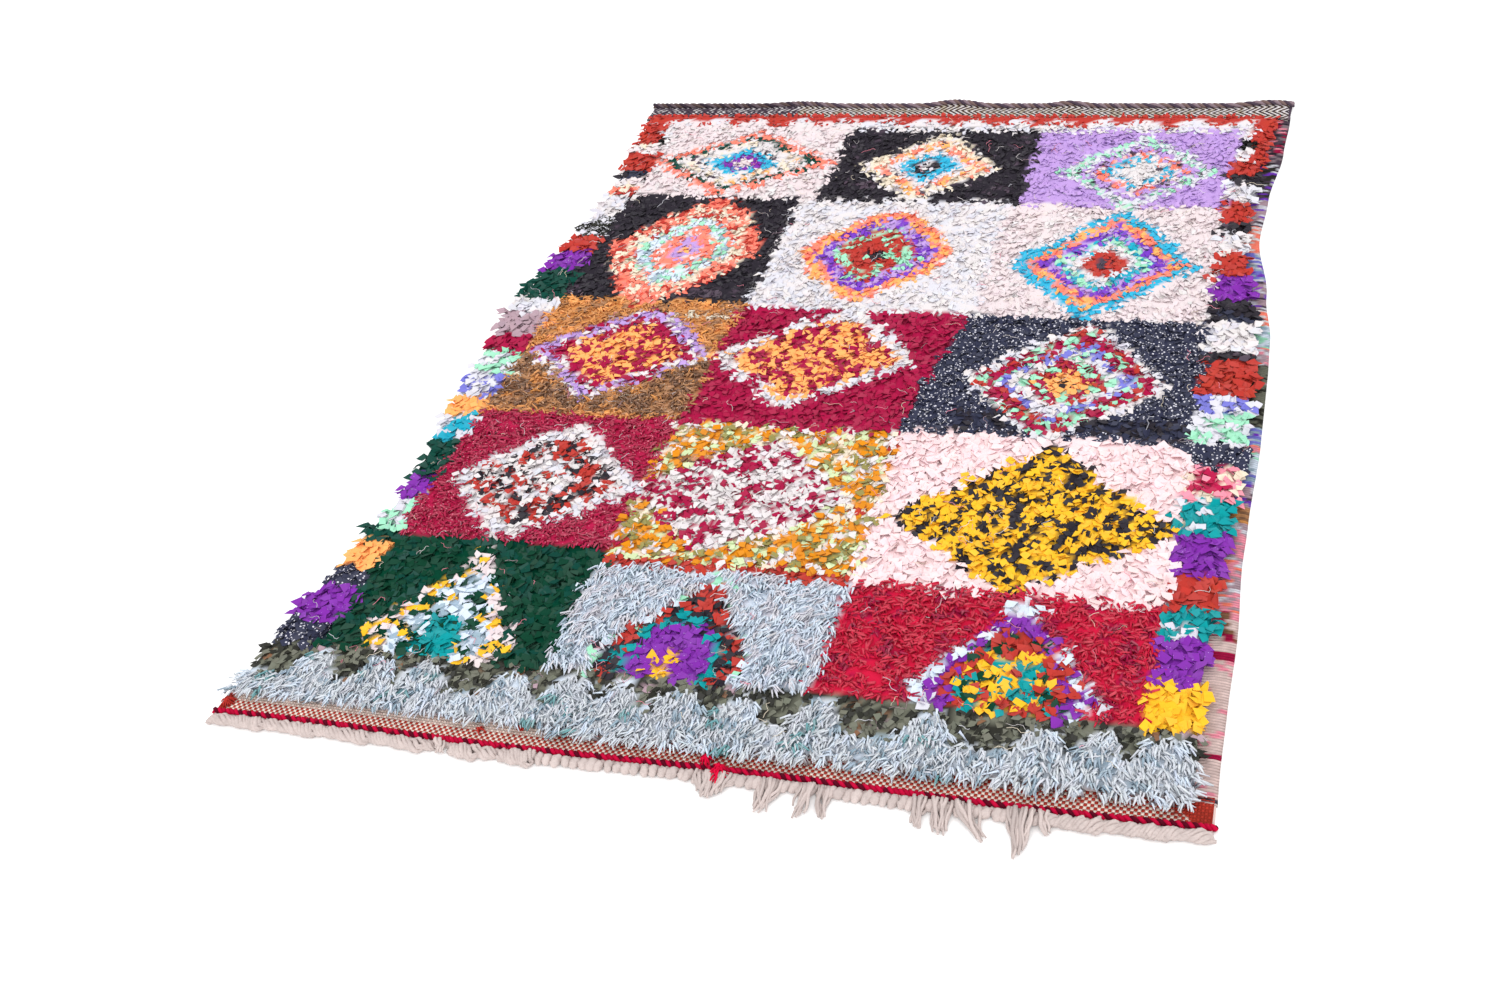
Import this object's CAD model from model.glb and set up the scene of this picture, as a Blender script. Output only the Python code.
"""A boucherouite rug on a pale floor: rag and yarn pile knotted in lozenge panels on a woven ground.

Metres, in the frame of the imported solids: X across the rug, Y along it from the fringed end to the
corded end, Z up. Every surface is a formula on whole arrays: pile locks, cords, knots and bands.
"""

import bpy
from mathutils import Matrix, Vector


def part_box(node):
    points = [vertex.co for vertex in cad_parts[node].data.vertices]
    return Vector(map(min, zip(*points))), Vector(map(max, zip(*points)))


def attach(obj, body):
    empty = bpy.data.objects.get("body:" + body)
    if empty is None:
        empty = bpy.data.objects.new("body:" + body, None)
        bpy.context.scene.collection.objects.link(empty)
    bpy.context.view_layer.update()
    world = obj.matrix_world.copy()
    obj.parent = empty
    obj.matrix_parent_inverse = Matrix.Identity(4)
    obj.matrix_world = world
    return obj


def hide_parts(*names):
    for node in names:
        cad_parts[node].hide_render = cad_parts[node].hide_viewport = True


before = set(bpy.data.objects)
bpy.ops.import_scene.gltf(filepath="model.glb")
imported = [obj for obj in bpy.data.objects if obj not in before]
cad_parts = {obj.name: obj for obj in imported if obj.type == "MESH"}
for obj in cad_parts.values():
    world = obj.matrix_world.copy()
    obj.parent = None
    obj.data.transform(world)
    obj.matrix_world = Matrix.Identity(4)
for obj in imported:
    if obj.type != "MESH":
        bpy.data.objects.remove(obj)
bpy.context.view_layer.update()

import copy
import math

import bpy
import numpy as np
from mathutils import Matrix

# Every chance number is drawn from here, in order
RNG = np.random.default_rng(4107)

# The front end swings along Y by a sine of X
FRONT_WAVE_HEIGHT = 0.0022
FRONT_WAVE_RATE = 9.0
FRONT_WAVE_START = 0.6

# The rug's own sizes, as the solids have them
CLOTH_FRONT = float(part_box("rug")[0][1]) + FRONT_WAVE_HEIGHT
CLOTH_BACK = float(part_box("rug")[1][1])
PILE_FRONT = CLOTH_FRONT + 0.034
PILE_BACK = CLOTH_BACK - 0.058
GROUND_THICK = 0.0026

# From here in X, and over this run, the pile's front rim comes forward by so much
ADVANCE_START = -0.40
ADVANCE_RUN = 0.30
ADVANCE = 0.010

# The pile: its dense foot's height, its usual top, how far a tip leans ahead of its root, and the
# crest past which locks are pressed down to a share of their rise
PILE_FOOT = 0.0122
PILE_TOP = 0.019
PILE_LEAN = 0.012
PILE_CREST = 0.027
CREST_SHARE = 0.35

# The camera, found from the four corners of the cloth in the photograph
CAMERA_PLACE = (0.7755, -2.4869, 1.6526)
CAMERA_TURN = (
    (0.95219439, -0.06645896, 0.29817621),
    (0.27678398, 0.60076890, -0.74997824),
    (-0.12929222, 0.79665547, 0.59044355),
)
CAMERA_LENS = 42.37

# Knots of the pile: how far apart they stand across and along, how far off their places, and how
# far inside the pile's ends
KNOT_PITCH = 0.0105
ROW_PITCH = 0.0120
KNOT_JITTER = 0.0026
RIM_MARGIN = 0.004

# Side edges of the cloth and the pile's right-hand limit, from front to back, as the photo shows them
EDGE_COLUMNS = ("y", "left", "pile_right", "right")
EDGE_ROWS = (
    (-0.966, -0.702, 0.672, 0.700),
    (-0.866, -0.690, 0.672, 0.698),
    (-0.766, -0.679, 0.664, 0.699),
    (-0.616, -0.666, 0.668, 0.702),
    (-0.466, -0.647, 0.668, 0.698),
    (-0.366, -0.652, 0.676, 0.700),
    (-0.166, -0.672, 0.684, 0.706),
    (0.034, -0.686, 0.684, 0.706),
    (0.134, -0.695, 0.680, 0.704),
    (0.284, -0.680, 0.662, 0.690),
    (0.484, -0.660, 0.640, 0.667),
    (0.634, -0.659, 0.642, 0.674),
    (0.834, -0.678, 0.658, 0.692),
    (0.984, -0.692, 0.676, 0.698),
    (1.064, -0.704, 0.680, 0.702),
)

# Ripples of the slack corded end: middle, half width and lift
RIPPLE_ROWS = (
    (-0.350, 0.100, 0.005),
    (0.000, 0.085, 0.009),
    (0.245, 0.060, 0.006),
    (0.660, 0.090, 0.007),
)
RIPPLE_DEPTH = 0.070

# Yarn and rag colours, as seen
COLOURS = {
    "pale_pink": (0.85, 0.795, 0.805),
    "soft_pink": (0.92, 0.815, 0.825),
    "warm_white": (0.84, 0.815, 0.82),
    "cool_white": (0.81, 0.805, 0.84),
    "cream": (0.87, 0.82, 0.74),
    "raw_cotton": (0.755, 0.70, 0.685),
    "black": (0.16, 0.145, 0.175),
    "plum_grey": (0.30, 0.25, 0.30),
    "dust_brown": (0.45, 0.37, 0.36),
    "mauve_shade": (0.52, 0.45, 0.48),
    "lilac": (0.70, 0.57, 0.81),
    "violet": (0.45, 0.22, 0.72),
    "purple": (0.48, 0.17, 0.62),
    "brick": (0.69, 0.21, 0.18),
    "coral": (0.95, 0.50, 0.42),
    "light_orange": (0.96, 0.66, 0.38),
    "crimson": (0.62, 0.07, 0.25),
    "deep_crimson": (0.33, 0.04, 0.12),
    "hot_crimson": (0.73, 0.05, 0.22),
    "tie_crimson": (0.80, 0.04, 0.22),
    "raspberry": (0.68, 0.11, 0.28),
    "raspberry_red": (0.77, 0.10, 0.24),
    "rose": (0.90, 0.55, 0.62),
    "blush": (0.84, 0.74, 0.72),
    "ink": (0.19, 0.20, 0.28),
    "orange_tan": (0.83, 0.57, 0.33),
    "tan": (0.68, 0.49, 0.34),
    "brown": (0.50, 0.36, 0.27),
    "marigold": (0.83, 0.52, 0.09),
    "khaki": (0.55, 0.52, 0.30),
    "pale_green": (0.78, 0.84, 0.66),
    "green": (0.0, 0.23, 0.16),
    "dark_green": (0.02, 0.25, 0.21),
    "pale_blue": (0.80, 0.845, 0.90),
    "grey_blue": (0.58, 0.66, 0.72),
    "frost": (0.79, 0.81, 0.84),
    "teal_grey": (0.42, 0.62, 0.64),
    "sky": (0.18, 0.66, 0.80),
    "turquoise": (0.10, 0.62, 0.72),
    "teal": (0.02, 0.56, 0.58),
    "mint": (0.60, 0.84, 0.72),
    "periwinkle": (0.45, 0.45, 0.78),
    "olive_grey": (0.42, 0.425, 0.375),
    "charcoal": (0.175, 0.175, 0.155),
    "mauve_grey": (0.66, 0.56, 0.60),
    "yellow": (0.93, 0.71, 0.16),
    "peach": (0.95, 0.88, 0.83),
    "orange_red": (0.69, 0.22, 0.17),
}

# Mixes that a stretch of knots is drawn from: colours and their shares
PALETTES = {
    "pale_pink": (("pale_pink", 12), ("warm_white", 2)),
    "soft_pink": (("soft_pink", 1),),
    "pink_white": (("pale_pink", 3), ("warm_white", 3), ("cream", 1)),
    "white": (("warm_white", 6), ("cool_white", 4)),
    "black": (("black", 20), ("plum_grey", 1)),
    "plum": (("plum_grey", 3), ("black", 1)),
    "lilac": (("lilac", 1),),
    "orange_tan": (("orange_tan", 6), ("tan", 1), ("light_orange", 1)),
    "brown_tan": (("brown", 4), ("tan", 4), ("orange_tan", 1)),
    "tan_cream": (("tan", 2), ("cream", 2), ("orange_tan", 2)),
    "crimson": (("crimson", 1),),
    "navy_speckle": (("ink", 1),),
    "ink": (("ink", 3), ("black", 2)),
    "raspberry_fleck": (("raspberry", 1),),
    "raspberry_red": (("raspberry_red", 5), ("crimson", 1)),
    "floral": (
        ("marigold", 7),
        ("warm_white", 2.4),
        ("cream", 2.6),
        ("pale_green", 3),
        ("khaki", 3),
        ("brick", 0.5),
    ),
    "green": (("green", 7), ("dark_green", 2)),
    "pale_blue": (("pale_blue", 9), ("grey_blue", 0.6), ("cool_white", 4)),
    "shag_blue": (("frost", 7), ("grey_blue", 1.3), ("pale_blue", 2), ("teal_grey", 0.3)),
    "olive": (("olive_grey", 8), ("charcoal", 7), ("mauve_grey", 0.3), ("brown", 0.4)),
    "brick": (("brick", 6), ("orange_red", 2)),
    "purple": (("purple", 1),),
    "yellow": (("yellow", 1),),
    "teal_white": (("teal", 3), ("cool_white", 1)),
    "turquoise_white": (("turquoise", 3), ("cool_white", 1)),
    "dark_green": (("dark_green", 1),),
    "periwinkle_white": (("periwinkle", 3), ("cool_white", 2)),
    "mint_white": (("mint", 2), ("cool_white", 2)),
    "white_mint": (("cool_white", 4), ("mint", 2)),
    "white_plum": (("warm_white", 8), ("plum_grey", 1)),
    "salt_pepper": (("charcoal", 2), ("cool_white", 1)),
    "rose_cream": (("rose", 3), ("cream", 2), ("raspberry", 2)),
    "mauve": (("mauve_grey", 1),),
    "wrap_dark": (("plum_grey", 4), ("mauve_shade", 2), ("rose", 1), ("black", 2), ("crimson", 1)),
    "wrap_speckle": (("plum_grey", 2), ("cool_white", 1), ("charcoal", 2), ("violet", 1)),
    "wrap_mauve": (("mauve_grey", 3), ("plum_grey", 1), ("cool_white", 1), ("violet", 1)),
    "wrap_blue": (("periwinkle", 3), ("violet", 1), ("grey_blue", 2), ("cool_white", 1)),
    "wrap_rose": (("rose", 3), ("mauve_grey", 2), ("coral", 1), ("cool_white", 1)),
    "wrap_red": (("crimson", 3), ("rose", 2), ("blush", 3), ("brown", 1)),
    "wrap_pale": (("blush", 8), ("rose", 1)),
    "light_orange": (("light_orange", 1),),
    "coral": (("coral", 1),),
    "green_white": (("dark_green", 2), ("warm_white", 1.2)),
    "white_bits": (("warm_white", 8), ("cream", 2), ("light_orange", 1), ("plum_grey", 0.6)),
    "sky": (("sky", 1),),
    "cream": (("cream", 3), ("warm_white", 2)),
    "coral_beige": (("coral", 3), ("cream", 2), ("light_orange", 2), ("plum_grey", 0.6)),
    "coral_pink": (("coral", 2), ("pale_pink", 2)),
    "lilac_mauve": (("lilac", 5), ("plum_grey", 1)),
    "coral_brick": (("coral", 3), ("brick", 1.5), ("cream", 1)),
    "cream_brick": (("cream", 3), ("brick", 1), ("coral", 1)),
    "blue_mint": (("pale_blue", 3), ("mint", 2), ("grey_blue", 1)),
    "coral_white": (("coral", 3), ("warm_white", 2)),
    "coral_orange": (("coral", 2), ("light_orange", 2)),
    "lilac_violet": (("lilac", 2), ("violet", 2)),
    "mint_brick": (("mint", 2.4), ("brick", 2.5)),
    "brick_mint": (("brick", 3), ("mint", 1)),
    "turquoise_mint": (("turquoise", 2), ("mint", 2)),
    "lilac_white": (("lilac", 3), ("warm_white", 2), ("crimson", 0.7)),
    "crimson_white": (("crimson", 4), ("warm_white", 1)),
    "orange_crimson": (("light_orange", 5), ("crimson", 4)),
    "red_mint": (("crimson", 4), ("brick", 1.5), ("mint", 2.4)),
    "brick_black_white": (("brick", 3), ("black", 2), ("warm_white", 2)),
    "white_crimson": (("warm_white", 6), ("crimson", 3.8)),
    "yellow_black": (("yellow", 6), ("black", 3.9)),
    "pink_yellow": (("pale_pink", 3.4), ("yellow", 2.2), ("green", 1.7)),
    "frost_plain": (("pale_blue", 3), ("cool_white", 2)),
    "frost_white": (("pale_blue", 3), ("green", 1.6), ("grey_blue", 1.4), ("yellow", 0.5)),
    "teal_green": (("teal", 4), ("green", 2)),
    "brick_black": (("brick", 4), ("black", 3.4)),
    "teal_black": (("teal", 4), ("black", 2)),
    "blue_mint_streaks": (("pale_blue", 3), ("mint", 2)),
    "purple_yellow": (("purple", 2), ("yellow", 2)),
    "brick_green": (("brick", 3), ("green", 1)),
    "bright_mix": (("yellow", 4), ("teal", 3), ("brick", 2), ("green", 1)),
}

# Flecks of a second yarn spun or printed into a rag: its colour, and a fleck's reach as a share of
# the flecks' spacing
FLECKS = {
    "navy_speckle": ("cool_white", 0.28),
    "raspberry_fleck": ("rose", 0.19),
    "salt_pepper": ("cool_white", 0.36),
    "floral": ("marigold", 0.15),
    "purple": ("lilac", 0.10),
    "brown_tan": ("cream", 0.14),
    "black": ("plum_grey", 0.16),
}
NO_FLECK = ("black", 0.0)
FLECKS_PER_METRE = 165.0

# How far a run of one colour reaches across and along: in the panels, in the borders, in the
# selvedge's wrapping and in the front band's scraps. A run's number steps on by the golden section
# and is put off by up to this much chance.
KNOT_RUN = (0.0165, 0.0122)
BORDER_RUN = (0.03, 0.0125)
WRAP_RUN = (0.017, 0.0070)
SCRAP_RUN = (0.0085, 0.0085)
GOLDEN_SECTION = 0.618034
PATCH_CHANCE = 0.22

# How each kind of pile is cut: locks to a knot, sizes in metres, lean in degrees of the root half and
# of the tip half, scatter in degrees of the knots' headings and of one knot's locks, the tip's share
# of the width, how much lighter a lock may be than its yarn, and whether it is round like yarn
STYLE_COLUMNS = (
    "locks", "width", "length", "thick", "root_lean", "tip_lean",
    "knot_turn", "lock_turn", "tip", "streak", "round",
)
STYLES = {
    "short": (2.5, 0.0092, 0.024, 0.0008, 28, 94, 24, 18, 0.84, 0.03, 0),
    "chip": (2.2, 0.0110, 0.026, 0.0011, 26, 92, 28, 22, 0.92, 0.03, 0),
    "flap": (1.9, 0.0158, 0.028, 0.0010, 32, 97, 24, 18, 0.88, 0.03, 0),
    "fluffy": (4.4, 0.0044, 0.026, 0.0026, 14, 84, 60, 34, 0.50, 0.08, 1),
    "shag": (5.3, 0.0038, 0.034, 0.0020, 26, 92, 22, 15, 0.40, 0.24, 1),
}
STYLE_NAMES = tuple(STYLES)

# A lock's three sections of three points: the tip half's share of the length, the root's share of
# the width, the yarn's shade at each section, the share of locks that lie upside down, and how
# light a streak in the yarn may be
LOCK_ROWS = 3
LOCK_SIDES = 3
TIP_HALF_SHARE = 0.42
ROOT_WIDTH = 0.6
LOCK_SHADES = (0.90, 0.99, 1.0)
OVERTURNED = 0.12
PALE_STREAK = 0.86

# Fibres across, along and round a lock, and crumples, in the rag's finish
FIBRE_STRETCH = (3.2, 0.9, 1.0)
CRUMPLES_PER_METRE = 170.0

# A lock's own cell of the map: its margin, and the share of its height that each end cap has
CELL_MARGIN = 0.06
CELL_CAP = 0.12

# The chart's zero lies so far along the rug, and its seams wander by so much
CHART_MIDDLE = 0.031
CHART_WOBBLE = 0.0038

# Limits of the panels' rows, from back to front
ROW_EDGES = (0.90, 0.58, 0.155, -0.21, -0.59, -0.842)

# The panels' grounds, in the chart's own metres: sides, ends, palette and kind of pile
PANELS = (
    (-0.72, 0.72, 0.86, 1.02, "white", "short"),
    (-0.62, -0.21, 0.583, 0.93, "pale_pink", "short"),
    (-0.21, 0.205, 0.580, 0.90, "black", "short"),
    (0.205, 0.61, 0.575, 0.90, "lilac", "short"),
    (-0.62, -0.24, 0.165, 0.583, "black", "short"),
    (-0.24, 0.19, 0.155, 0.580, "white", "short"),
    (0.19, 0.61, 0.155, 0.575, "pale_pink", "short"),
    (-0.62, -0.245, -0.220, 0.165, "orange_tan", "fluffy"),
    (-0.245, 0.155, -0.215, 0.155, "crimson", "chip"),
    (0.155, 0.61, -0.205, 0.155, "navy_speckle", "chip"),
    (-0.62, -0.25, -0.570, -0.220, "raspberry_fleck", "fluffy"),
    (-0.25, 0.145, -0.585, -0.215, "floral", "chip"),
    (0.145, 0.61, -0.600, -0.205, "soft_pink", "flap"),
    (-0.62, -0.25, -0.860, -0.570, "green", "flap"),
    (-0.25, 0.15, -0.860, -0.600, "pale_blue", "shag"),
    (0.15, 0.61, -0.860, -0.600, "raspberry_red", "fluffy"),
    (-0.25, 0.15, -0.602, -0.583, "brick", "chip"),
    (-0.36, -0.27, 0.195, 0.215, "plum", "short"),
    (-0.68, -0.58, 0.190, 0.212, "plum", "short"),
    (-0.15, -0.08, 0.640, 0.660, "plum", "short"),
    (-0.62, -0.245, -0.205, -0.035, "brown_tan", "fluffy"),
    (-0.62, -0.52, -0.120, -0.100, "tan_cream", "fluffy"),
    (-0.42, -0.25, 0.110, 0.130, "tan_cream", "fluffy"),
    (0.155, 0.61, -0.190, -0.140, "ink", "chip"),
    (-0.22, -0.13, -0.330, -0.312, "brown_tan", "chip"),
)

# The crimson and navy panels of the third row meet on a slant: its middle, its lean to the right for
# each unit of height, and the row's and the slant's limits
SEAM_MIDDLE = (0.155, -0.03)
SEAM_LEAN = 0.055 / 0.37
SEAM_ROW = (-0.205, 0.155)
SEAM_REACH = (0.10, 0.21)

# Lozenges: middle, half width, heights above and below the middle, lean to the right for each unit
# of height, bluntness, kind of pile, then rings from the rim inwards: the share of the size at
# which each one starts, and its palette
LOZENGES = (
    (-0.418, 0.742, 0.204, 0.150, 0.150, 0.08, 1.0, "short", ((1.0, "coral"),
        (0.89, "green_white"), (0.74, "white_bits"), (0.42, "sky"), (0.28, "purple"),
        (0.15, "pale_pink"))),
    (-0.007, 0.731, 0.150, 0.158, 0.158, 0.06, 1.0, "short", ((1.0, "cream"), (0.80, "coral_beige"),
        (0.60, "white"), (0.44, "sky"), (0.26, "black"), (0.12, "white"))),
    (0.421, 0.722, 0.160, 0.168, 0.168, 0.04, 1.0, "short", ((1.0, "white_mint"), (0.77, "lilac_mauve"),
        (0.60, "coral_pink"), (0.47, "sky"), (0.37, "white_plum"))),
    (-0.425, 0.366, 0.156, 0.214, 0.214, 0.10, 1.35, "short", ((1.0, "coral_brick"),
        (0.80, "cream_brick"), (0.62, "blue_mint"), (0.42, "coral_white"), (0.22, "lilac"),
        (0.08, "light_orange"))),
    (-0.036, 0.366, 0.148, 0.180, 0.170, 0.06, 1.3, "short", ((1.0, "coral_orange"),
        (0.80, "lilac_violet"), (0.58, "mint_brick"), (0.36, "brick_mint"), (0.14, "black"))),
    (0.398, 0.350, 0.168, 0.206, 0.190, 0.10, 1.08, "short", ((1.0, "sky"), (0.84, "coral_orange"),
        (0.70, "lilac_violet"), (0.53, "turquoise_mint"), (0.40, "white"), (0.26, "brick"),
        (0.08, "plum"))),
    (-0.425, -0.014, 0.172, 0.158, 0.150, 0.10, 1.15, "chip", ((1.0, "lilac_white"),
        (0.80, "crimson_white"), (0.66, "orange_crimson"))),
    (-0.060, -0.004, 0.182, 0.168, 0.160, 0.16, 1.12, "chip", ((1.0, "white"), (0.83, "orange_crimson"))),
    (0.385, -0.046, 0.170, 0.192, 0.172, 0.10, 1.1, "chip", ((1.0, "white"), (0.90, "red_mint"),
        (0.66, "periwinkle_white"), (0.56, "white"), (0.46, "red_mint"), (0.24, "light_orange"),
        (0.10, "black"))),
    (-0.425, -0.412, 0.168, 0.170, 0.152, 0.08, 1.12, "chip", ((1.0, "white"),
        (0.80, "brick_black_white"), (0.36, "white"), (0.22, "brick_black_white"))),
    (-0.080, -0.408, 0.172, 0.156, 0.150, 0.10, 1.15, "chip", ((1.0, "white_crimson"),)),
    (0.386, -0.430, 0.226, 0.212, 0.176, 0.04, 0.96, "chip", ((1.0, "yellow_black"),)),
)

# Lozenges that the front band cuts off: middle, lean of the apex, apex, base, half width, then rings
HALF_LOZENGES = (
    (-0.440, 0.0, -0.595, -0.850, 0.125, ((1.0, "pink_yellow"), (0.70, "frost_white"),
        (0.30, "teal_green"))),
    (-0.077, 0.022, -0.612, -0.850, 0.128, ((1.0, "blue_mint_streaks"), (0.90, "brick_black"),
        (0.62, "teal_black"), (0.48, "purple"), (0.20, "purple_yellow"))),
    (0.409, 0.0, -0.615, -0.850, 0.130, ((1.0, "frost_plain"), (0.86, "purple"), (0.70, "brick_green"),
        (0.52, "bright_mix"))),
)

# A half lozenge is widest so far down from its apex, and its apex has this share of the width
SHOULDER = 0.78
APEX_WIDTH = 0.16

# Blocks of the side borders, from back to front: top and palette. Each ends where the next starts.
LEFT_BLOCKS = (
    (0.820, "pink_white"), (0.785, "brick"), (0.705, "ink"), (0.665, "pink_white"),
    (0.630, "coral_brick"), (0.590, "white"), (0.500, "salt_pepper"), (0.410, "brick"),
    (0.355, "purple"), (0.275, "dark_green"), (0.170, "white"), (0.115, "mauve"),
    (0.035, "crimson"), (-0.020, "mint_white"),
    (-0.100, "periwinkle_white"), (-0.175, "light_orange"), (-0.230, "turquoise_white"),
    (-0.300, "dark_green"), (-0.410, "purple"), (-0.470, "mint_white"), (-0.555, "dark_green"),
    (-0.590, "light_orange"), (-0.660, "navy_speckle"), (-0.710, "purple"), (-0.795, "navy_speckle"),
)
RIGHT_BLOCKS = (
    (0.820, "white"), (0.780, "brick"), (0.715, "black"), (0.675, "white"), (0.605, "brick"),
    (0.520, "black"), (0.480, "white"), (0.410, "brick"), (0.320, "purple"), (0.245, "black"),
    (0.200, "ink"), (0.165, "white"), (0.075, "black"), (0.045, "brick"), (-0.060, "periwinkle_white"),
    (-0.115, "mint_white"), (-0.190, "navy_speckle"), (-0.260, "rose_cream"), (-0.345, "teal_white"),
    (-0.430, "purple"), (-0.520, "brick"), (-0.600, "teal_white"), (-0.660, "purple"),
    (-0.750, "yellow"),
)
LEFT_BORDER = -0.615
RIGHT_BORDER = 0.600

# The wrapped right selvedge, from back to front, in the same form, its last block's end and the
# pitch of its turns
SELVEDGE_BLOCKS = (
    (1.000, "wrap_dark"), (0.750, "wrap_speckle"), (0.600, "wrap_mauve"), (0.500, "coral_white"),
    (0.400, "wrap_blue"), (0.300, "wrap_mauve"), (0.200, "coral_white"), (0.150, "blue_mint"),
    (0.080, "wrap_rose"), (0.030, "olive"), (-0.150, "wrap_blue"), (-0.200, "wrap_rose"),
    (-0.220, "blue_mint"), (-0.270, "wrap_blue"), (-0.300, "wrap_mauve"), (-0.360, "brown_tan"),
    (-0.400, "wrap_rose"), (-0.600, "wrap_red"), (-0.660, "wrap_pale"), (-0.680, "crimson"),
    (-0.700, "wrap_pale"), (-0.875, "crimson"), (-0.885, "wrap_pale"), (-0.955, "plum"),
    (-0.962, "wrap_pale"), (-0.980, "brick"),
)
SELVEDGE_END = -1.05
WRAP_PITCH = 0.0052

# The front band: dark rag scraps whose lower edge is bitten by peaks of pale shag, at these places
OLIVE_BOTTOM = -0.912
SHAG_PEAK = -0.858
SHAG_PEAKS = (-0.60, -0.50, -0.42, -0.28, -0.19, -0.12, -0.03, 0.06, 0.17, 0.32, 0.47, 0.55, 0.63)
PEAK_HALF_WIDTH = 0.040
PEAK_FLAT = 0.014

# The back band: brick red over white, with teeth between them, and red running down both sides to
# a limit in X and an end in Y
RED_TOP = 0.965
RED_TOOTH = 0.040
RED_TOOTH_PITCH = 0.094
RED_LEFT = (-0.640, 0.820)
RED_RIGHT = (0.632, 0.720)

# Stray threads on the pile: how many, how high they lie, how thick they are and their colours
THREAD_COUNT = 620
THREAD_HEIGHT = 0.0225
THREAD_RADIUS = 0.00042
THREAD_COLOURS = ("warm_white", "cream", "cool_white", "mauve_grey", "rose")

# Cords: sides of a strand, the shares of the cord's radius that a strand's helix and the strand
# itself have, and the length of one turn of the twining and of the twisted cord
CORD_SIDES = 6
WIND_SHARE = 0.48
STRAND_SHARE = 0.56
TWINE_TURN = 0.0150
CORD_TURN = 0.040

# Stretches of the fringe: start, end, pitch, half width, half depth, half height and slant in degrees
FRINGE_STRETCHES = (
    (-0.188, 0.025, 0.0125, 0.0068, 0.0094, 0.0062, 6),
    (0.025, 0.500, 0.0120, 0.0070, 0.0110, 0.0056, 16),
)
# Rolls of plied warp ends: start, end, half depth, half height and which way the plies wind
FRINGE_ROLLS = (
    (-0.704, -0.338, 0.0072, 0.0037, 1),
    (-0.320, -0.242, 0.0088, 0.0036, 1),
    (-0.246, -0.186, 0.0092, 0.0040, 1),
    (0.495, 0.704, 0.0066, 0.0042, -1),
)
# Tassels: middle, width, reach past the cloth, drift of the tip and number of strands
TASSELS = (
    (0.063, 0.066, 0.056, 0.002, 30),
    (0.144, 0.036, 0.076, -0.004, 18),
    (0.193, 0.022, 0.078, -0.004, 9),
    (0.216, 0.018, 0.082, 0.008, 7),
    (0.340, 0.026, 0.068, 0.004, 11),
    (0.368, 0.030, 0.078, 0.006, 14),
    (0.402, 0.034, 0.080, 0.024, 15),
    (0.470, 0.040, 0.092, 0.004, 22),
    (0.496, 0.018, 0.058, 0.008, 7),
    (-0.329, 0.020, 0.036, 0.002, 6),
    (-0.196, 0.014, 0.036, 0.004, 5),
    (0.566, 0.012, 0.033, 0.003, 3),
)

# How far past the cloth the knots' middle line is, how often a groove winds round a knot, and a
# roll's plies and the length of their turn
KNOT_REACH = 0.0207
KNOT_WINDS = 5.0
ROLL_PLIES = 5
ROLL_TURN = 0.034

# Floor and light: each sun's side, strength and spread in degrees
FLOOR_HALF = 14.0
FLOOR_WHITE = (0.98, 0.98, 0.98, 1.0)
STUDIO_LIGHT = 1.15
SUNS = (
    ("front", (0.25, -0.8, 0.75), 1.25, 60.0),
    ("back", (-0.5, 0.6, 1.0), 0.4, 60.0),
)


# Small tables and noise


def ease(t):
    """Smoothstep from 0 to 1: three t squared less two t cubed."""
    return t * t * (3 - 2 * t)


def edge(name, y):
    """A side edge's X at each y: eased between the rows of the table."""
    table = np.array(EDGE_ROWS)
    ys = table[:, 0]
    xs = table[:, EDGE_COLUMNS.index(name)]
    y = np.clip(y, ys[0], ys[-1])
    place = np.clip(np.searchsorted(ys, y, side="right") - 1, 0, len(ys) - 2)
    t = (y - ys[place]) / (ys[place + 1] - ys[place])
    return xs[place] + (xs[place + 1] - xs[place]) * ease(t)


def front_wave(x):
    """How far the front end swings along Y: a sine of X."""
    return FRONT_WAVE_HEIGHT * np.sin(x * FRONT_WAVE_RATE + FRONT_WAVE_START)


def pile_start(x):
    """The pile's front rim in Y: from the left third on it eases forward over the weave."""
    t = np.clip((x - ADVANCE_START) / ADVANCE_RUN, 0, 1)
    return PILE_FRONT - ADVANCE * ease(t)


def ripple(x):
    """Lift of the corded end: a raised cosine for each ripple."""
    lift = np.zeros_like(x)
    for middle, half_width, height in RIPPLE_ROWS:
        away = np.clip(np.abs(x - middle) / half_width, 0, 1)
        lift += height * 0.5 * (1 + np.cos(np.pi * away))
    return lift


def lift_at(x, y):
    """Lift of the cloth: the ripple's, growing with the square of the way to the corded end."""
    t = np.clip((y - (CLOTH_BACK - RIPPLE_DEPTH)) / RIPPLE_DEPTH, 0, 1)
    return ripple(x) * t**2


def fade(away, reach):
    """A rim's influence: 1 on it or past it, falling with the exponential of the way inwards."""
    return np.exp(-np.clip(away, 0, 1) / reach)


def hashed(i, j, salt):
    """A repeatable random number from 0 to 1 for each whole-number pair."""
    value = np.sin(i * 127.1 + j * 311.7 + salt * 74.7) * 43758.5453
    return value - np.floor(value)


def patches(x, y, size_x, size_y, salt):
    """One number from 0 to 1 for all of each small cell.

    The cells are laid like bricks. Along a row the number steps on by the golden section, so that
    a row's numbers are evenly spread, and each is put off by a little chance.
    """
    j = np.floor(y / size_y)
    i = np.floor(x / size_x + 0.5 * (j % 2) + hashed(j, j, salt))
    value = i * GOLDEN_SECTION + hashed(j, j, salt + 0.5) + PATCH_CHANCE * hashed(i, j, salt)
    return value - np.floor(value)


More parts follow.
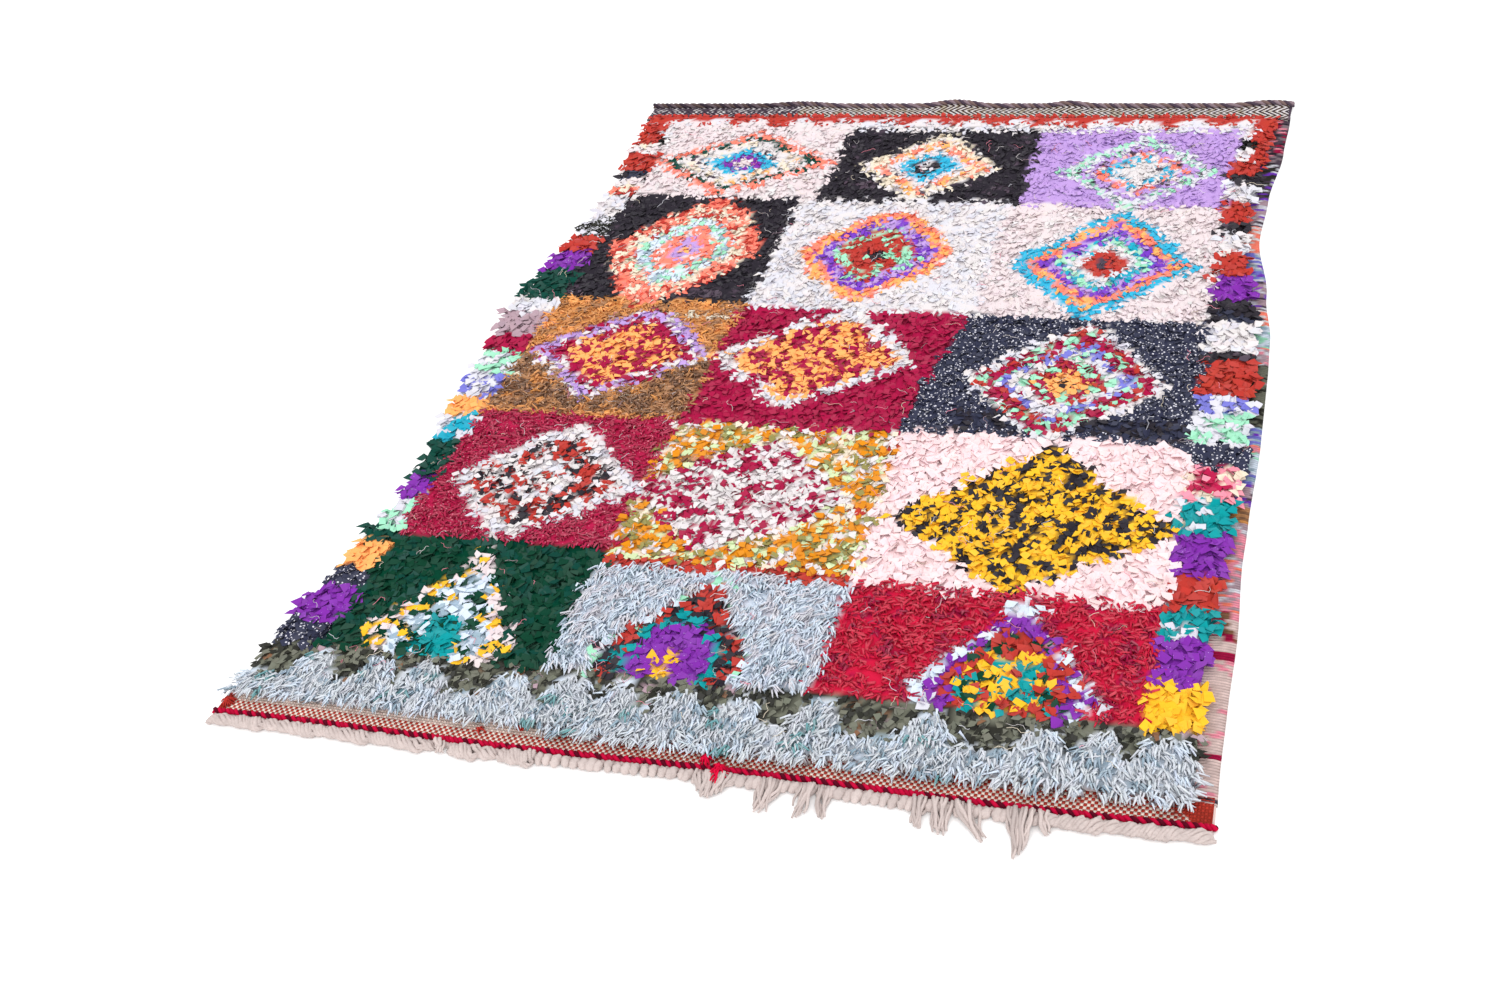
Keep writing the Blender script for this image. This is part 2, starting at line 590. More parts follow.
def soft_noise(x, y, size, salt):
    """Smooth noise from -1 to 1: random numbers on a square lattice, eased between."""
    u, v = x / size, y / size
    i, j = np.floor(u), np.floor(v)
    fu, fv = ease(u - i), ease(v - j)
    low = hashed(i, j, salt) * (1 - fu) + hashed(i + 1, j, salt) * fu
    high = hashed(i, j + 1, salt) * (1 - fu) + hashed(i + 1, j + 1, salt) * fu
    return 2 * (low * (1 - fv) + high * fv) - 1


def light_of(name):
    """A named colour, as seen, made linear light."""
    c = np.asarray(COLOURS[name], float)
    return np.where(c <= 0.04045, c / 12.92, ((c + 0.055) / 1.055) ** 2.4)


# The pattern


class Chart:
    """The pattern at a set of points: each point's colour, fleck and kind of pile."""

    def __init__(self, x, y):
        """Noise moves the points a little on the chart, so that no seam between knots is straight."""
        coarse = CHART_WOBBLE * soft_noise(x, y, 0.030, 11)
        fine = 0.003 * soft_noise(x, y, 0.012, 12)
        self.x = x + coarse + fine
        self.y = y - CHART_MIDDLE + 0.8 * CHART_WOBBLE * soft_noise(x, y, 0.040, 13)
        self.colour = np.zeros((len(x), 3))
        self.fleck = np.zeros((len(x), 4))
        self.style = np.zeros(len(x), int)

    def under(self, mask):
        """The part of the chart under a mask."""
        part = copy.copy(self)
        part.x, part.y = self.x[mask], self.y[mask]
        part.colour, part.fleck, part.style = self.colour[mask], self.fleck[mask], self.style[mask]
        return part

    def paint(self, mask, palette, style=None, run=KNOT_RUN, salt=1):
        """Gives the points under the mask colours drawn from a palette, in short runs of knots."""
        entries = PALETTES[palette]
        shares = np.cumsum([share for _, share in entries])
        draw = patches(self.x[mask], self.y[mask], *run, salt) * shares[-1]
        pick = np.clip(np.searchsorted(shares, draw), 0, len(entries) - 1)
        self.colour[mask] = np.array([light_of(name) for name, _ in entries])[pick]
        name, reach = FLECKS.get(palette, NO_FLECK)
        self.fleck[mask] = (*light_of(name), reach)
        if style is not None:
            self.style[mask] = STYLE_NAMES.index(style)

    def paint_panels(self):
        """The panels, one over another, and then the slanting seam in the third row."""
        for n, (left, right, bottom, top, palette, style) in enumerate(PANELS):
            inside = (self.x >= left) & (self.x < right) & (self.y >= bottom) & (self.y < top)
            self.paint(inside, palette, style, salt=20 + n)
        seam = SEAM_MIDDLE[0] + SEAM_LEAN * (self.y - SEAM_MIDDLE[1])
        row = (self.y > SEAM_ROW[0]) & (self.y < SEAM_ROW[1])
        self.paint(row & (self.x > SEAM_REACH[0]) & (self.x < seam), "crimson", "chip")
        self.paint(row & (self.x > seam) & (self.x < SEAM_REACH[1]), "navy_speckle", "chip")

    def paint_rings(self, share, inside, rings, style, salt):
        """Nested rings: each ring's palette from its own share of the size inwards."""
        for n, (start, palette) in enumerate(rings):
            self.paint(inside & (share <= start), palette, style, salt=salt + n)

    def paint_lozenges(self):
        """Whole and half lozenges in rings, each by a share that is 1 at its rim.

        A lozenge's share is a superellipse's: the ways across and along, each over its half size,
        to the power of the bluntness, summed, and the root of that. A half lozenge's is the way
        across over a width that grows from the apex to the shoulder and then shrinks a little.
        """
        uneven = 0.035 * soft_noise(self.x, self.y, 0.035, 31)
        uneven = uneven + 0.015 * soft_noise(self.x, self.y, 0.014, 32)
        for n, (x, y, half_w, above, below, lean, blunt, style, rings) in enumerate(LOZENGES):
            high = self.y - y
            u = np.abs(self.x - x - lean * high) / half_w
            v = np.where(high > 0, high / above, -high / below)
            share = (u**blunt + v**blunt) ** (1 / blunt)
            self.paint_rings(share + uneven, share < 1.1, rings, style, 100 + 10 * n)
        for n, (x, lean, apex, base, half_w, rings) in enumerate(HALF_LOZENGES):
            down = (apex - self.y) / (apex - base)
            shrinking = 1 - 0.9 * np.clip(down - SHOULDER, 0, 1)
            wide = np.minimum(np.clip(down / SHOULDER, APEX_WIDTH, 1), shrinking)
            share = np.abs(self.x - x - lean * (1 - down)) / half_w / wide
            share = np.maximum(share, 1 - down * 1.1)
            inside = (down > 0) & (self.y > base)
            self.paint_rings(share + uneven, inside, rings, "flap", 300 + 10 * n)

    def paint_blocks(self, mask, blocks, end, style, salt, run=BORDER_RUN):
        """A border's blocks, each from its own top down to the next one's, and the last to the end."""
        tops = [top for top, _ in blocks]
        for n, (top, palette) in enumerate(blocks):
            bottom = tops[n + 1] if n + 1 < len(blocks) else end
            inside = mask & (self.y <= top) & (self.y > bottom)
            self.paint(inside, palette, style, run, salt + n)

    def paint_borders(self):
        """The blocks of both side borders."""
        self.paint_blocks(self.x < LEFT_BORDER, LEFT_BLOCKS, ROW_EDGES[-1], "flap", 400)
        self.paint_blocks(self.x > RIGHT_BORDER, RIGHT_BLOCKS, ROW_EDGES[-1], "flap", 500)

    def paint_back_band(self):
        """Brick red behind a toothed edge, and down both sides.

        The edge is the red's top less the root of a triangle wave, whose places and depth wander.
        """
        wander = 0.010 * soft_noise(self.x, self.y * 0, 0.06, 33)
        wave = np.abs(((self.x + wander) / RED_TOOTH_PITCH) % 1.0 - 0.5) * 2
        depth = RED_TOOTH * (1 + 0.25 * soft_noise(self.x, self.y * 0, 0.05, 34))
        red = self.y > RED_TOP - depth * np.sqrt(wave)
        red |= (self.x < RED_LEFT[0]) & (self.y > RED_LEFT[1])
        red |= (self.x > RED_RIGHT[0]) & (self.y > RED_RIGHT[1])
        self.paint(red, "brick", "short", salt=40)

    def paint_front_band(self):
        """Dark rags over pale shag: the edge between them rises to a blunt peak at each table entry."""
        away = np.min(np.abs(self.x[:, None] - np.array(SHAG_PEAKS)), axis=1)
        bite = np.clip((away - PEAK_FLAT) / (PEAK_HALF_WIDTH - PEAK_FLAT), 0, 1)
        olive_edge = SHAG_PEAK + (OLIVE_BOTTOM - SHAG_PEAK) * bite
        olive = (self.y < ROW_EDGES[-1]) & (self.y >= olive_edge)
        self.paint(olive, "olive", "short", SCRAP_RUN, 50)
        self.paint(self.y < olive_edge, "shag_blue", "shag", salt=51)


def chart_at(x, y, height=PILE_TOP, lean=PILE_LEAN):
    """The pattern over roots at x, y.

    The chart is laid out as the camera sees it on the floor's plane. So a lock's tip, up off the
    floor, takes the colour of the place that it covers from there: the root's place, moved back
    by the lean and spread from the camera by its height over its height above the tip.
    """
    spread = CAMERA_PLACE[2] / (CAMERA_PLACE[2] - height)
    seen_x = CAMERA_PLACE[0] + (x - CAMERA_PLACE[0]) * spread
    seen_y = CAMERA_PLACE[1] + (y - lean - CAMERA_PLACE[1]) * spread
    chart = Chart(seen_x, seen_y)
    chart.paint_panels()
    chart.paint_lozenges()
    chart.paint_borders()
    chart.paint_back_band()
    chart.paint_front_band()
    return chart


# Meshes from whole arrays


def add_piece(name, verts, quads, tris=None, smooth=True, material=None, uv=None, **layers):
    """A mesh object from arrays. Layers are point colours by attribute name, and uv is its map."""
    mesh = bpy.data.meshes.new(name)
    tris = np.zeros((0, 3), int) if tris is None else tris
    corners = np.concatenate([quads.ravel(), tris.ravel()])
    starts = np.concatenate([np.arange(len(quads)) * 4, len(quads) * 4 + np.arange(len(tris)) * 3])
    mesh.vertices.add(len(verts))
    mesh.vertices.foreach_set("co", np.asarray(verts, np.float32).ravel())
    mesh.loops.add(len(corners))
    mesh.loops.foreach_set("vertex_index", corners.astype(np.int32))
    mesh.polygons.add(len(starts))
    mesh.polygons.foreach_set("loop_start", starts.astype(np.int32))
    mesh.update(calc_edges=True)
    mesh.polygons.foreach_set("use_smooth", np.broadcast_to(smooth, len(starts)).copy())
    if uv is not None:
        layer = mesh.uv_layers.new(name="OFBake")
        layer.uv.foreach_set("vector", np.asarray(uv, np.float32).ravel())
    for attribute, colours in layers.items():
        data = mesh.attributes.new(attribute, "FLOAT_COLOR", "POINT").data
        rgba = np.ones((len(verts), 4), np.float32)
        rgba[:, : colours.shape[1]] = colours
        data.foreach_set("color", rgba.ravel())
    mesh.materials.append(material)
    piece = bpy.data.objects.new(name, mesh)
    bpy.context.scene.collection.objects.link(piece)
    return piece


def unit(vectors):
    """Vectors made one long."""
    return vectors / np.maximum(np.linalg.norm(vectors, axis=-1, keepdims=True), 1e-12)


def prism_faces(count, rows, sides):
    """Side quads of many prisms, each with its rows of one section's points."""
    base = np.arange(count)[:, None, None] * rows * sides
    row = np.arange(rows - 1)[None, :, None] * sides
    side = np.arange(sides)[None, None, :]
    following = (side + 1) % sides
    a, b = base + row + side, base + row + following
    return np.stack([a, b, b + sides, a + sides], axis=-1).reshape(-1, 4)


def prism_caps(count, rows, sides):
    """Fans of triangles that close both ends of each prism."""
    base = np.arange(count)[:, None] * rows * sides
    fan = np.arange(1, sides - 1)[None, :]
    top = base + (rows - 1) * sides
    start = np.stack([base + 0 * fan, base + fan + 1, base + fan], axis=-1)
    end = np.stack([top + 0 * fan, top + fan, top + fan + 1], axis=-1)
    return np.concatenate([start.reshape(-1, 3), end.reshape(-1, 3)])


def prism_uv(count, rows, sides):
    """A map with one square cell for each prism: round it across the cell, and along it upwards."""
    cells = math.ceil(math.sqrt(count))
    item = np.arange(count)
    corner = np.stack([item % cells, item // cells], axis=-1)[:, None, None, None, :]
    row, side = np.meshgrid(np.arange(rows - 1), np.arange(sides), indexing="ij")
    u = np.stack([side, side + 1, side + 1, side], axis=-1) / sides
    v = np.stack([row, row, row + 1, row + 1], axis=-1) / (rows - 1)
    local = np.stack([u, CELL_CAP + (1 - 2 * CELL_CAP) * v], axis=-1)[None]
    fill = 1 - 2 * CELL_MARGIN
    parts = [((corner + CELL_MARGIN + fill * local) / cells).reshape(-1, 2)]
    for v_low, v_high in ((0.0, 0.10), (0.90, 1.0)):
        spot = np.array([[0.3, v_low], [0.7, v_low], [0.5, v_high]])
        fans = np.tile(spot, (count, sides - 2, 1, 1))
        parts.append(((corner[:, :, 0] + CELL_MARGIN + fill * fans) / cells).reshape(-1, 2))
    return np.concatenate(parts)


def strands(paths, radii, sides):
    """Round strands along many paths: a ring of points about each path point, square to the path."""
    tangent = unit(np.gradient(paths, axis=1))
    across = unit(np.cross(tangent, np.array([0.0, 0.0, 1.0])))
    normal = np.cross(across, tangent)
    angle = np.arange(sides)[:, None] * 2 * np.pi / sides
    ring = np.cos(angle) * across[:, :, None, :] + np.sin(angle) * normal[:, :, None, :]
    points = paths[:, :, None, :] + ring * radii[:, :, None, None]
    count, rows = paths.shape[:2]
    quads = prism_faces(count, rows, sides)
    caps = prism_caps(count, rows, sides)
    return points.reshape(-1, 3), quads[:, ::-1], caps[:, ::-1]


def strand_piece(name, paths, radii, sides, material, yarn, mapped=False):
    """One piece of strands, with a cell of a map for each where that is asked for."""
    verts, quads, caps = strands(paths, radii, sides)
    uv = prism_uv(*paths.shape[:2], sides) if mapped else None
    return add_piece(name, verts, quads, caps, material=material, uv=uv, yarn=yarn)


def toned(colour, count, points, amount):
    """The colour at each point of many strands, a little lighter or darker from one to the next."""
    tone = 1 + amount * RNG.normal(0, 1, (count, 1))
    return np.repeat(np.clip(light_of(colour) * tone, 0.004, 0.95), points, axis=0)


# Shader maths as plain expressions


class Value:
    """A shader socket that reads like a number: arithmetic on it adds Math nodes."""

    def __init__(self, finish, socket):
        self.finish = finish
        self.socket = socket

    def math(self, operation, *others):
        """A Math node on this value and any others."""
        sockets = dict(enumerate((self, *others)))
        return self.finish.node("ShaderNodeMath", {"operation": operation}, sockets)

    def __add__(self, other):
        return self.math("ADD", other)

    def __mul__(self, other):
        return self.math("MULTIPLY", other)

    def __sub__(self, other):
        return self.math("SUBTRACT", other)

    def __rsub__(self, other):
        return (self * -1.0).math("ADD", other)

    __radd__ = __add__
    __rmul__ = __mul__

    def above(self, limit):
        """1 where it is more than the limit, and 0 elsewhere."""
        return self.math("GREATER_THAN", limit)

    def floor(self):
        """The whole number below it."""
        return self.math("FLOOR")

    def odd(self):
        """1 where the whole number is odd, and 0 where it is even."""
        return (self * 0.5).math("FRACT") * 2.0

    def wave(self):
        """The size of the sine of so many half turns: 0 at whole numbers, 1 between them."""
        return (self * math.pi).math("SINE").math("ABSOLUTE")


class Finish:
    """A material in the making: its shader and one method for every other node."""

    def __init__(self, name, roughness):
        self.material = bpy.data.materials.new(name)
        self.material.use_nodes = True
        self.tree = self.material.node_tree
        self.shader = self.tree.nodes["Principled BSDF"]
        self.shader.inputs["Roughness"].default_value = roughness
        self.shader.inputs["Specular IOR Level"].default_value = 0.06

    def put(self, socket, value):
        """Links a value to a socket, or sets a plain number or colour on it."""
        if isinstance(value, Value):
            self.tree.links.new(value.socket, socket)
        else:
            socket.default_value = value

    def node(self, kind, settings=None, sockets=None, output=0):
        """Any node: its settings first, then its sockets' values or links."""
        made = self.tree.nodes.new(kind)
        for setting, value in (settings or {}).items():
            setattr(made, setting, value)
        for key, value in (sockets or {}).items():
            self.put(made.inputs[key], value)
        return Value(self, made.outputs[output])

    def attribute(self, name, output="Color"):
        """A point colour of the mesh."""
        return self.node("ShaderNodeAttribute", {"attribute_name": name}, output=output)

    def place(self):
        """Object coordinates, in metres."""
        return self.node("ShaderNodeTexCoord", output="Object")

    def noise(self, scale, detail=2.0, vector=None):
        """Cloudy noise about one half, on object coordinates or on a given vector."""
        sockets = {"Vector": vector or self.place(), "Scale": scale, "Detail": detail}
        return self.node("ShaderNodeTexNoise", None, sockets)

    def axes(self):
        """The three object coordinates, apart."""
        split = self.node("ShaderNodeSeparateXYZ", None, {0: self.place()})
        return [Value(self, socket) for socket in split.socket.node.outputs]

    def blend(self, factor, first, second):
        """The first colour where the factor is 0, and the second where it is 1."""
        settings = {"data_type": "RGBA", "clamp_factor": True}
        sockets = {0: factor, 6: first, 7: second}
        return self.node("ShaderNodeMix", settings, sockets, 2)

    def shade(self, colour, factor):
        """The colour made lighter or darker by a number."""
        parts = {0: factor, 1: factor, 2: factor}
        grey = self.node("ShaderNodeCombineXYZ", None, parts)
        return self.node("ShaderNodeVectorMath", {"operation": "MULTIPLY"}, {0: colour, 1: grey})

    def bump(self, height, distance, strength):
        """Fine relief for the shader's normal."""
        sockets = {"Height": height, "Distance": distance, "Strength": strength}
        self.put(self.shader.inputs["Normal"], self.node("ShaderNodeBump", None, sockets))

    def done(self, colour):
        """The finished material, in this colour."""
        self.put(self.shader.inputs["Base Color"], colour)
        return self.material


def pile_finish():
    """Rag and yarn: the knot's colour with flecks of its second yarn, fibres along and crumples."""
    finish = Finish("rag_pile", 0.95)
    spacing = {"Vector": finish.place(), "Scale": FLECKS_PER_METRE}
    away = finish.node("ShaderNodeTexVoronoi", None, spacing)
    shown = finish.attribute("fleck", "Alpha").above(away)
    colour = finish.blend(shown, finish.attribute("yarn"), finish.attribute("fleck"))
    stretch = {0: finish.attribute("grain", "Vector"), 1: FIBRE_STRETCH}
    along = finish.node("ShaderNodeVectorMath", {"operation": "MULTIPLY"}, stretch)
    fibres = finish.noise(1.0, 3.0, along)
    crumple = finish.noise(CRUMPLES_PER_METRE, 2.0)
    finish.bump(crumple + 0.35 * fibres, 0.0020, 0.32)
    return finish.done(finish.shade(colour, 0.90 + 0.20 * fibres))


def yarn_finish(name, grain, depth=0.0008):
    """Cord and knot yarn: its own colour with a fine fibrous grain, so many to a metre."""
    finish = Finish(name, 0.9)
    shade = 0.80 + 0.38 * finish.noise(grain, 4.0)
    finish.bump(finish.noise(grain * 1.4, 3.0), depth, 0.7)
    return finish.done(finish.shade(finish.attribute("yarn"), shade))


def weave_finish(name, pitch_x, pitch_y, fold_rows=0.0):
    """Flat weave: floats of two yarns in turn, laid like bricks or in chevrons of so many rows.

    A float swells as the product of two sine humps, one across and one along, and its rows follow
    the front end's wave.
    """
    finish = Finish(name, 0.95)
    x, y, _ = finish.axes()
    across = x * (1.0 / pitch_x)
    swing = FRONT_WAVE_HEIGHT * (x * FRONT_WAVE_RATE + FRONT_WAVE_START).math("SINE")
    along = (y - swing) * (1.0 / pitch_y)
    row = along.floor()
    if fold_rows:
        across = across + (along * (1.0 / fold_rows)).math("PINGPONG", 1.0) * fold_rows
        turn = across.floor().odd()
    else:
        turn = (across.floor() + row).odd()
    colour = finish.blend(turn, finish.attribute("yarn"), finish.attribute("second"))
    swell = across.wave() * along.wave()
    shade = 0.60 + 0.38 * swell + 0.16 * finish.noise(700.0, 3.0)
    finish.bump(swell + 0.3 * finish.noise(900.0, 2.0), 0.0016, 0.9)
    return finish.done(finish.shade(colour, shade))


# The pile


def style_value(styles, name):
    """One column of the styles' table, for each of the given styles."""
    table = np.array([STYLES[style] for style in STYLE_NAMES])
    return table[styles, STYLE_COLUMNS.index(name)]


def spread_knots():
    """Knots in rows across the rug, a little off their places, within the pile's edges."""
    xs = np.arange(-0.73, 0.71, KNOT_PITCH)
    ys = np.arange(PILE_FRONT + RIM_MARGIN - ROW_PITCH, PILE_BACK + RIM_MARGIN, ROW_PITCH)
    x, y = (grid.ravel() for grid in np.meshgrid(xs, ys))
    x = x + RNG.normal(0, KNOT_JITTER, x.size)
    y = y + RNG.normal(0, 0.6 * KNOT_JITTER, y.size)
    inside = (x > edge("left", y) + 0.009) & (x < edge("pile_right", y) - 0.002) & (y > pile_start(x))
    return x[inside], y[inside]


def headings(x, y):
    """Which way the pile lies: towards the fringe, outwards beside a rim, and wandering a little."""
    left = fade(x - edge("left", y), 0.012)
    right = fade(edge("pile_right", y) - x, 0.012)
    back = fade(PILE_BACK - y, 0.016)
    drift = 0.35 * soft_noise(x, y, 0.12, 61)
    return np.arctan2(-1.0 + 1.6 * back, 2.2 * (right - left) + drift)


def lock_arrays(x, y, heading, styles):
    """Closed three-sided locks: three sections each, leaning over more at the tip than at the root.

    A lock's middle line is two straight parts. Its section has two side points and a ridge point,
    rolled and twisted about the line, and the tip is cut on a slant.
    """
    count = x.size
    value = {name: style_value(styles, name) for name in STYLE_COLUMNS}
    lumps = soft_noise(x, y, 0.045, 71) + 0.6 * soft_noise(x, y, 0.020, 72)
    length = value["length"] * RNG.uniform(0.78, 1.14, count) * (1 + 0.08 * lumps)
    length = length * (1 - 0.45 * fade(PILE_BACK - y, 0.022))
    width = value["width"] * RNG.uniform(0.70, 1.20, count)
    thick = value["thick"] * RNG.uniform(0.8, 1.4, count)
    level = np.stack([np.cos(heading), np.sin(heading), np.zeros(count)], axis=-1)
    side = np.stack([np.sin(heading), -np.cos(heading), np.zeros(count)], axis=-1)
    root_lean = np.radians(value["root_lean"] + RNG.normal(0, 7, count))
    tip_lean = np.radians(value["tip_lean"] + RNG.normal(0, 10, count))
    up = np.array([0.0, 0.0, 1.0])
    root_way = level * np.sin(root_lean)[:, None] + up * np.cos(root_lean)[:, None]
    tip_way = level * np.sin(tip_lean)[:, None] + up * np.cos(tip_lean)[:, None]
    root = np.stack([x, y, lift_at(x, y) + 1.5 * GROUND_THICK], axis=-1)
    bend = root + root_way * ((1 - TIP_HALF_SHARE) * length)[:, None]
    tip = bend + tip_way * (TIP_HALF_SHARE * length)[:, None]
    over = RNG.random(count) < OVERTURNED
    roll = RNG.normal(0, 0.24, count) + np.pi * over
    twist = RNG.normal(0, 0.30, count)
    slant = RNG.uniform(-0.40, 0.40, count) * width
    sections = (
        (root, root_way, ROOT_WIDTH, 0.0),
        (bend, unit(root_way + tip_way), 1.0, 0.0),
        (tip, tip_way, value["tip"], slant),
    )
    rows = []
    for k, (place, along, share, cut) in enumerate(sections):
        normal = np.cross(along, side)
        turn = (roll + twist * k / 2)[:, None]
        flat = side * np.cos(turn) + normal * np.sin(turn)
        ridge = normal * np.cos(turn) - side * np.sin(turn)
        half = (0.5 * width * share)[:, None] * flat
        slope = along * np.broadcast_to(cut, count)[:, None]
        rise = ridge * thick[:, None]
        rows.append(np.stack([place - half - slope, place + half + slope, place + rise], axis=1))
    points = np.stack(rows, axis=1)
    past = points[..., 2] - PILE_CREST
    points[..., 2] = np.where(past > 0, PILE_CREST + CREST_SHARE * past, points[..., 2])
    return points


def lock_colours(colour, styles):
    """Each lock's colour: a little off its knot's, and streaked paler where the yarn is."""
    count = styles.size
    tone = 1 + RNG.normal(0, 0.030, (count, 1)) + RNG.normal(0, 0.012, (count, 3))
    pale = (style_value(styles, "streak") * RNG.random(count) ** 1.5)[:, None]
    colour = colour * tone
    return np.clip(colour + (PALE_STREAK - colour) * pale, 0.004, 0.95)


def pile_piece(name, x, y, chart, material):
    """Grows each knot's locks, and joins them in one mesh with their colours."""
    counts = np.floor(style_value(chart.style, "locks") + RNG.random(x.size)).astype(int)
    grown = np.repeat(np.arange(x.size), counts)
    count = grown.size
    styles = chart.style[grown]
    spread = 0.32 * KNOT_PITCH
    lock_x = x[grown] + RNG.normal(0, spread, count)
    lock_y = y[grown] + RNG.normal(0, 0.8 * spread, count)
    lock_x = np.clip(lock_x, edge("left", lock_y) + 0.005, edge("pile_right", lock_y) - 0.001)
    lock_y = np.clip(lock_y, pile_start(lock_x) + 0.001, PILE_BACK + RIM_MARGIN)
    knot_turn = np.radians(style_value(chart.style, "knot_turn")) * RNG.normal(0, 1, x.size)
    lock_turn = np.radians(style_value(styles, "lock_turn")) * RNG.normal(0, 1, count)
    heading = (headings(x, y) + knot_turn)[grown] + lock_turn
    verts = lock_arrays(lock_x, lock_y, heading, styles)
    colour = lock_colours(chart.colour[grown], styles)
    size = (count, LOCK_ROWS, LOCK_SIDES)
    yarn = np.broadcast_to(colour[:, None, None, :] * np.array(LOCK_SHADES)[:, None, None], (*size, 3))
    fleck = np.broadcast_to(chart.fleck[grown][:, None, None, :], (*size, 4))
    seed = np.broadcast_to(RNG.uniform(0, 400, count)[:, None, None], size)
    along = np.broadcast_to(np.arange(LOCK_ROWS)[None, :, None] * 0.5, size)
    around = np.broadcast_to(np.arange(LOCK_SIDES)[None, None, :], size)
    grain = np.stack([around + seed, along, seed], axis=-1)
    caps = prism_caps(*size)
    is_round = style_value(styles, "round") > 0
    sides_smooth = np.repeat(is_round, (LOCK_ROWS - 1) * LOCK_SIDES)
    return add_piece(
        name,
        verts.reshape(-1, 3),
        prism_faces(*size),
        caps,
        np.concatenate([sides_smooth, np.zeros(len(caps), bool)]),
        material,
        prism_uv(*size),
        yarn=yarn.reshape(-1, 3),
        fleck=fleck.reshape(-1, 4),
        grain=grain.reshape(-1, 3),
    )


def build_pile(rag):
    """The pile in bands from back to front, with both side borders apart."""
    x, y = spread_knots()
    chart = chart_at(x, y)
    chart_y = y - CHART_MIDDLE
    left = x < LEFT_BORDER
    right = x > RIGHT_BORDER
    bands = {"pile_back_band": chart_y > ROW_EDGES[0]}
    for n, (top, bottom) in enumerate(zip(ROW_EDGES, ROW_EDGES[1:]), 1):
        bands["pile_row_%d" % n] = (chart_y <= top) & (chart_y > bottom) & ~left & ~right
    panels = (chart_y <= ROW_EDGES[0]) & (chart_y > ROW_EDGES[-1])
    bands["pile_left_border"] = panels & left
    bands["pile_right_border"] = panels & right
    bands["pile_front_band"] = chart_y <= ROW_EDGES[-1]
    return [pile_piece(name, x[mask], y[mask], chart.under(mask), rag) for name, mask in bands.items()]


def build_threads():
    """Stray threads on the pile: thin bent strands that wander a little and rest on the locks.

    A thread's heading is its start's plus a bend that grows along it and a small sine, and its
    height is a slow sine of the way along.
    """
    count = THREAD_COUNT
    rows = 6
    x = RNG.uniform(-0.66, 0.64, count)
    y = RNG.uniform(PILE_FRONT + 0.02, PILE_BACK - 0.02, count)
    heading = RNG.uniform(0, 2 * np.pi, count)
    length = RNG.uniform(0.010, 0.040, count)
    bend = RNG.normal(0, 1.6, count)
    s = np.linspace(0, 1, rows)[None, :]
    angle = heading[:, None] + bend[:, None] * s + 0.7 * np.sin(9 * s + heading[:, None])
    step = length[:, None] / (rows - 1)
    px = x[:, None] + np.cumsum(np.cos(angle) * step, axis=1)
    py = y[:, None] + np.cumsum(np.sin(angle) * step, axis=1)
    pz = THREAD_HEIGHT + 0.003 * np.sin(3.1 * s + bend[:, None]) + RNG.uniform(-0.003, 0.003, (count, 1))
    paths = np.stack([px, py, pz], axis=-1)
    radii = np.full((count, rows), THREAD_RADIUS)
    tones = np.array([light_of(name) for name in THREAD_COLOURS])
    yarn = np.repeat(tones[RNG.integers(0, len(tones), count)], rows * 3, axis=0)
    finish = yarn_finish("thread_cotton", 900.0, 0.0002)
    return strand_piece("stray_threads", paths, radii, 3, finish, yarn, True)


# Woven ground and flat-woven margins


def sheet_faces(across, along, flip=False):
    """Quads of a grid of points, across by along."""
    i = np.arange(across - 1)[:, None]
    j = np.arange(along - 1)[None, :]
    a = i * along + j
    quads = np.stack([a, a + along, a + along + 1, a + 1], axis=-1).reshape(-1, 4)
    return quads[:, ::-1] if flip else quads


def rim_faces(across, along):
    """Quads that join the rims of two such grids, the second grid's points after the first's."""
    total = across * along
    i = np.arange(across)
    j = np.arange(along)
    sides = [i[:-1] * along, (across - 1) * along + j[:-1], i[:0:-1] * along + along - 1, j[:0:-1]]
    loop = np.concatenate(sides)
    following = np.roll(loop, -1)
    return np.stack([loop + total, following + total, following, loop], axis=-1)


def closed_sheet(name, x, y, low, high, material, **colours):
    """A closed sheet between two height grids over the same points."""
    across, along = x.shape
    top = np.stack([x, y, high], axis=-1).reshape(-1, 3)
    under = np.stack([x, y, low], axis=-1).reshape(-1, 3)
    quads = np.concatenate([
        sheet_faces(across, along),
        sheet_faces(across, along, flip=True) + across * along,
        rim_faces(across, along),
    ])
    layers = {key: np.concatenate([value, value]) for key, value in colours.items()}
    return add_piece(name, np.concatenate([top, under]), quads, material=material, **layers)


